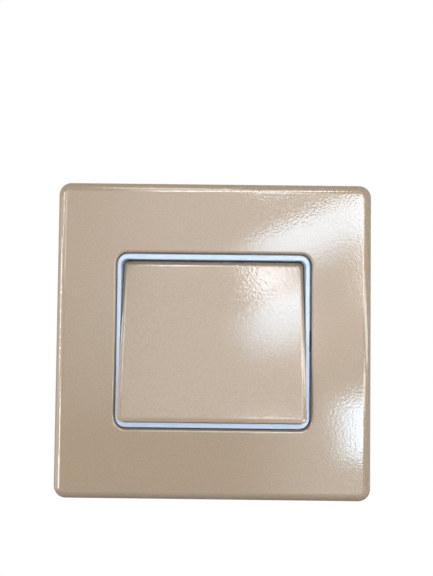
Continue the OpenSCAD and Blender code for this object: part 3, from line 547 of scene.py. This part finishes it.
def frame_hooks(piece):
    """Four hooks with barbs that clip the frame on to the mounting plate."""
    half_t, half_w = HOOK_T / 2, HOOK_W / 2
    for side in (-1, 1):
        for y in (-HOOK_Y, HOOK_Y):
            x = side * HOOK_X
            piece.box((x - half_t, y - half_w, HOOK_FOOT), (x + half_t, y + half_w, FACE_BACK_Z + SINK))
            root, tip = x + side * (half_t - SINK), x + side * (half_t + BARB_REACH)
            profile = (
                (root, HOOK_FOOT + BARB_LIFT), (tip, HOOK_FOOT + BARB_H / 2), (tip, HOOK_FOOT + BARB_H),
                (root, HOOK_FOOT + BARB_H),
            )
            piece.prism(profile, y - half_w + BARB_INSET, y + half_w - BARB_INSET)


# ---------------------------------------------------------------- rocker and spring

def rocker_outline(inset, r):
    return outline(ROCKER_W - 2 * inset, ROCKER_H - 2 * inset, r)


def rocker_cap():
    """Hollow cap. Its skirt just reaches the mechanism plate at full tilt."""
    piece = Piece(on_rocker)
    tilt = math.radians(TILT)
    end = -(PIVOT_Z - TOUCH_GAP - ROCKER_H / 2 * math.sin(tilt)) / math.cos(tilt)
    under = PIVOT_BACK - ROCKER_FACE_T
    inner = rocker_outline(ROCKER_SKIRT_T, ROCKER_INNER_R)
    foot = ROCKER_FOOT_R
    levels = [
        (inner, under),
        (inner, end + foot),
        (rocker_outline(ROCKER_SKIRT_T - foot, ROCKER_INNER_R + 0.1), end),
        (rocker_outline(foot, ROCKER_R - foot), end),
        (rocker_outline(0, ROCKER_R), end + foot),
    ]
    for inset, drop in reversed(edge_profile(ROCKER_REACH, ROCKER_EDGE, ROCKER_NOSE)):
        levels.append((rocker_outline(inset, ROCKER_R - inset), PIVOT_BACK - drop))
    piece.cap(piece.loft(levels))
    rocker_back(piece, under)
    piece.finish("rocker_cap_skin", "rocker", "champagne_paint", ["rocker_cap"])


def rocker_back(piece, under):
    """Ribs, the lever's rails with their lips, and the hinge pins."""
    half_w = ROCKER_W / 2 - ROCKER_SKIRT_T + SINK
    top = under + SINK
    rail_x = LEVER_W / 2 + LEVER_FIT
    rail_end = under - LEVER_T - LEVER_FIT - LIP
    for side in (-1, 1):
        y0, y1 = on_side(side, LEVER_H / 2 + LEVER_FIT, LEVER_H / 2 + LEVER_FIT + CAP_RIB_T)
        piece.box((-half_w, y0, under - CAP_RIB_H), (half_w, y1, top))
        x0, x1 = on_side(side, rail_x, rail_x + RAIL_T)
        piece.box((x0, -LEVER_H / 2, rail_end), (x1, LEVER_H / 2, top))
        x0, x1 = on_side(side, rail_x - LIP, rail_x + SINK)
        piece.box((x0, -LEVER_H / 2, rail_end), (x1, LEVER_H / 2, rail_end + LIP))
        piece.pin(PIN_R, side * (ROCKER_W / 2 - PIN_ROOT), side * (WELL_W / 2 + PIN_REACH))


def plunger_spring():
    """Coil of the plunger spring, with its end turns lying closer together."""
    piece = Piece(on_rocker)
    steps = TURN_STEPS * SPRING_TURNS
    run = SPRING_L - 2 * SPRING_WIRE_R - 2 * SPRING_GAP
    rings = []
    for step in range(steps + 1):
        share = step / steps
        rise = share - END_CLOSING * math.sin(2 * math.pi * share) / (2 * math.pi)
        turn = 2 * math.pi * SPRING_TURNS * share
        z = SPRING_FROM - SPRING_GAP - SPRING_WIRE_R - run * rise
        rings.append([])
        for k in range(WIRE_SIDES):
            a = 2 * math.pi * k / WIRE_SIDES
            r = SPRING_COIL_R + SPRING_WIRE_R * math.cos(a)
            rings[-1].append((r * math.cos(turn), r * math.sin(turn), z + SPRING_WIRE_R * math.sin(a)))
    piece.cap(piece.sweep(rings))
    coil = piece.finish("plunger_spring_coil", "rocker", "steel", ["plunger_spring"])
    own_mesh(coil)


front_frame()
rocker_cap()
plunger_spring()


# ---------------------------------------------------------------- floor and world

FLOOR_Z, FLOOR_HALF = -0.35, 4.0
FLOOR_DARK, FLOOR_LIGHT = (0.80, 0.80, 0.79, 1), (0.84, 0.84, 0.83, 1)
WORLD_BACK, WORLD_FRONT = (0.95, 0.95, 0.96, 1), (0.10, 0.10, 0.105, 1)


def white_for_camera(n):
    """1 for rays that show the background: from the camera, in gloss and through glass."""
    path = n.add("ShaderNodeLightPath")
    seen = n.math("MAXIMUM", path.outputs["Is Camera Ray"], path.outputs["Is Glossy Ray"])
    return n.math("MAXIMUM", seen, path.outputs["Is Transmission Ray"])


def make_floor():
    material, n = new_material("pale_floor")
    tone = n.mix(n.spread(n.noise(n.place(), 6.0, 3.0)), FLOOR_DARK, FLOOR_LIGHT)
    plain = n.add("ShaderNodeBsdfPrincipled", {"Base Color": tone, "Roughness": 0.9})
    white = n.add("ShaderNodeEmission", {"Color": (1, 1, 1, 1), "Strength": 1.0})
    n.surface(n.mix_shaders(white_for_camera(n), plain, white))
    bm = bmesh.new()
    bmesh.ops.create_grid(bm, x_segments=8, y_segments=8, size=FLOOR_HALF)
    mesh = bpy.data.meshes.new("floor")
    bm.to_mesh(mesh)
    bm.free()
    mesh.materials.append(material)
    floor = bpy.data.objects.new("floor", mesh)
    floor.location = (0, 0, FLOOR_Z)
    bpy.context.scene.collection.objects.link(floor)


def make_world():
    """Pale behind the part and dim in front of it, so that its gloss shows the lamps."""
    world = bpy.data.worlds.new("studio")
    world.use_nodes = True
    bpy.context.scene.world = world
    n = Nodes(world.node_tree)
    where = n.split(n.add("ShaderNodeTexCoord").outputs["Generated"])
    front = n.mapped(where["Y"], 0.5, -0.4, 0, 1)
    tone = n.mix(front, WORLD_BACK, WORLD_FRONT)
    fill = n.add("ShaderNodeBackground", {"Color": tone, "Strength": 1.0})
    white = n.add("ShaderNodeBackground", {"Color": (1, 1, 1, 1), "Strength": 1.0})
    n.surface(n.mix_shaders(white_for_camera(n), fill, white), "ShaderNodeOutputWorld")


# ---------------------------------------------------------------- lamps
# A lamp's radiance is what its mirror image would show in a perfect mirror. The lacquer mirrors
# about 6% of it. A fade is (low, high, start, end): a smooth rise or fall in strength, from start
# to end, between two places in parts of the lamp's width or height.

WHITE, PALE, SKY, DAYLIGHT = (1, 1, 1), (0.95, 0.99, 1.06), (0.86, 0.93, 1.02), (0.64, 0.85, 1.05)


def sight(px, py):
    """Direction of the sight line through a pixel of the picture."""
    right, up = (px - PHOTO_W / 2) / FOCAL_PX, (PHOTO_H / 2 - py) / FOCAL_PX
    return FORWARD + right * RIGHT + up * UP


def fade_nodes(lamp, across_fade, along_fade, turned):
    """Gives a lamp its fades. turned is true where its height runs downwards."""
    lamp.use_nodes = True
    n = Nodes(lamp.node_tree)
    where = n.split(n.add("ShaderNodeNewGeometry").outputs["Parametric"])
    v = n.math("SUBTRACT", 1.0, where["Y"]) if turned else where["Y"]
    strength = 1.0
    if across_fade:
        strength = n.mapped(where["X"], *across_fade, kind="SMOOTHSTEP")
    if along_fade:
        strength = n.math("MULTIPLY", strength, n.mapped(v, *along_fade, kind="SMOOTHSTEP"))
    emission = n.add("ShaderNodeEmission", {"Color": (1, 1, 1, 1), "Strength": strength})
    n.surface(emission.outputs[0], "ShaderNodeOutputLight")


def panel(name, centre, across, along, radiance, color=WHITE, across_fade=None, along_fade=None):
    """Rectangular area lamp with its two side vectors, facing the part."""
    width, height = across.length, along.length
    x = across.normalized()
    y = (along - along.dot(x) * x).normalized()
    z = x.cross(y)
    turned = z.dot(centre) < 0
    if turned:
        y, z = -y, -z
    lamp = bpy.data.lights.new(name, "AREA")
    lamp.shape = "RECTANGLE"
    lamp.size, lamp.size_y = width, height
    lamp.energy = radiance * math.pi * width * height
    lamp.color = color
    if across_fade or along_fade:
        fade_nodes(lamp, across_fade, along_fade, turned)
    obj = bpy.data.objects.new(name, lamp)
    obj.matrix_world = placed(x, y, z, centre)
    obj.visible_camera = False
    bpy.context.scene.collection.objects.link(obj)


def lamp_at(name, azimuth, elevation, radiance, distance=1.0, **look):
    """Panel that the part sees between two azimuths and two elevations, in degrees."""
    a, e = (math.radians(sum(pair) / 2) for pair in (azimuth, elevation))
    half_w, half_h = (math.radians((pair[1] - pair[0]) / 2) for pair in (azimuth, elevation))
    out = Vector((math.sin(a) * math.cos(e), -math.cos(a) * math.cos(e), math.sin(e)))
    side = Vector((math.cos(a), math.sin(a), 0))
    up = side.cross(out)
    if up.z < 0:
        up = -up
    across = side * (2 * distance * math.tan(half_w) * math.cos(e))
    along = up * (2 * distance * math.tan(half_h))
    panel(name, out * distance, across, along, radiance, **look)


def shown_at(name, corners, radiance, distance, **look):
    """Panel whose mirror image in the plate's face covers a tilted rectangle of the picture.

    corners are pixels: one corner, the next one across and the next one along.
    """
    points = []
    for px, py in corners:
        p = EYE + sight(px, py) * distance
        points.append(Vector((p.x, -2 * FACE_Z * MM - p.y, p.z)))
    across, along = points[1] - points[0], points[2] - points[0]
    panel(name, points[0] + (across + along) / 2, across, along, radiance, **look)


def beam(name, start, end, width, radiance):
    """Long panel between two points near the part, given in mm."""
    a, b = Vector(start) * MM, Vector(end) * MM
    centre = (a + b) / 2
    side = (b - a).cross(centre).normalized()
    panel(name, centre, b - a, side * (width * MM), radiance)


make_floor()
make_world()

# wide soft panel in front, fading downwards and to the left, and a low one for the plate's foot
lamp_at(
    "front_panel", (-24, 24), (-26, 24), 1.72, 1.2,
    color=PALE, across_fade=(0.02, 0.4, 0.5, 1), along_fade=(0, 0.6, 0.12, 1),
)
lamp_at(
    "low_glow", (2, 28), (-34, -10), 1.6, 0.55,
    color=PALE, across_fade=(0, 0.7, 0, 1), along_fade=(0.6, 1, 1, 0),
)
# tilted strip that lights the upper right of the plate and the middle of the rocker's highlight
shown_at(
    "strip", ((215, 255), (374, 184), (241, 312)), 6.9, 0.27,
    color=DAYLIGHT, across_fade=(0, 0.36, 0, 1), along_fade=(0.4, 1, 1, 0),
)
# weak one at the same place in the plate but far off, so that the rocker shows it lower down
shown_at(
    "strip_far", ((256, 236), (374, 184), (276, 281)), 1.4, 1.2,
    across_fade=(0, 0.4, 0, 1), along_fade=(0.2, 1, 1, 0),
)
# high panel that shows in the upper right of the rocker only
lamp_at(
    "high_panel", (5.2, 15), (15.8, 24), 9.6, 1.2,
    color=SKY, across_fade=(0.3, 0.75, 1, 0.35), along_fade=(0, 0.25, 0, 1),
)
# small leaning panel that shows in the lower right of the plate
shown_at(
    "low_right", ((306, 398), (398, 385), (338, 462)), 12.5, 0.27,
    color=DAYLIGHT, across_fade=(0, 0.5, 0, 1), along_fade=(0, 0.3, 0, 1),
)
# low panel that the rocker's bottom edge shows
lamp_at("low_middle", (3, 12.5), (-8, -0.5), 5.0)
# panels that draw the bright lines along the edges
beam("top_line", (-156, -885, 438), (287, -710, 643), 80, 11.0)
lamp_at("rocker_top", (-13, 13), (24, 31.5), 4.0)
lamp_at("rocker_left", (-34, -25), (3, 22), 5.0)
lamp_at("rocker_right", (21, 28), (0, 9), 5.0)
lamp_at("top_wash", (-15, 21), (31, 46), 2.2)
lamp_at("top_far", (-24, 3), (46, 54), 7.0)
lamp_at("left_fill", (-85, -40), (-30, 15), 1.1, 0.6)
lamp_at("left_top", (-50, -46), (9, 22), 13.0)
lamp_at("left_high", (-64.5, -59.5), (-12, 8), 16.0, along_fade=(0, 0.45, 0.3, 1))
lamp_at("left_low", (-53.5, -48.5), (-29, -12), 16.0, 0.7)
lamp_at("low_side", (30, 46), (-14, -8), 7.0)
lamp_at("right_wash", (21, 38), (7, 15), 5.5, across_fade=(0.5, 1, 1, 0))
beam("right_near", (117, -183, 27), (212, -80, -26), 32, 5.5)
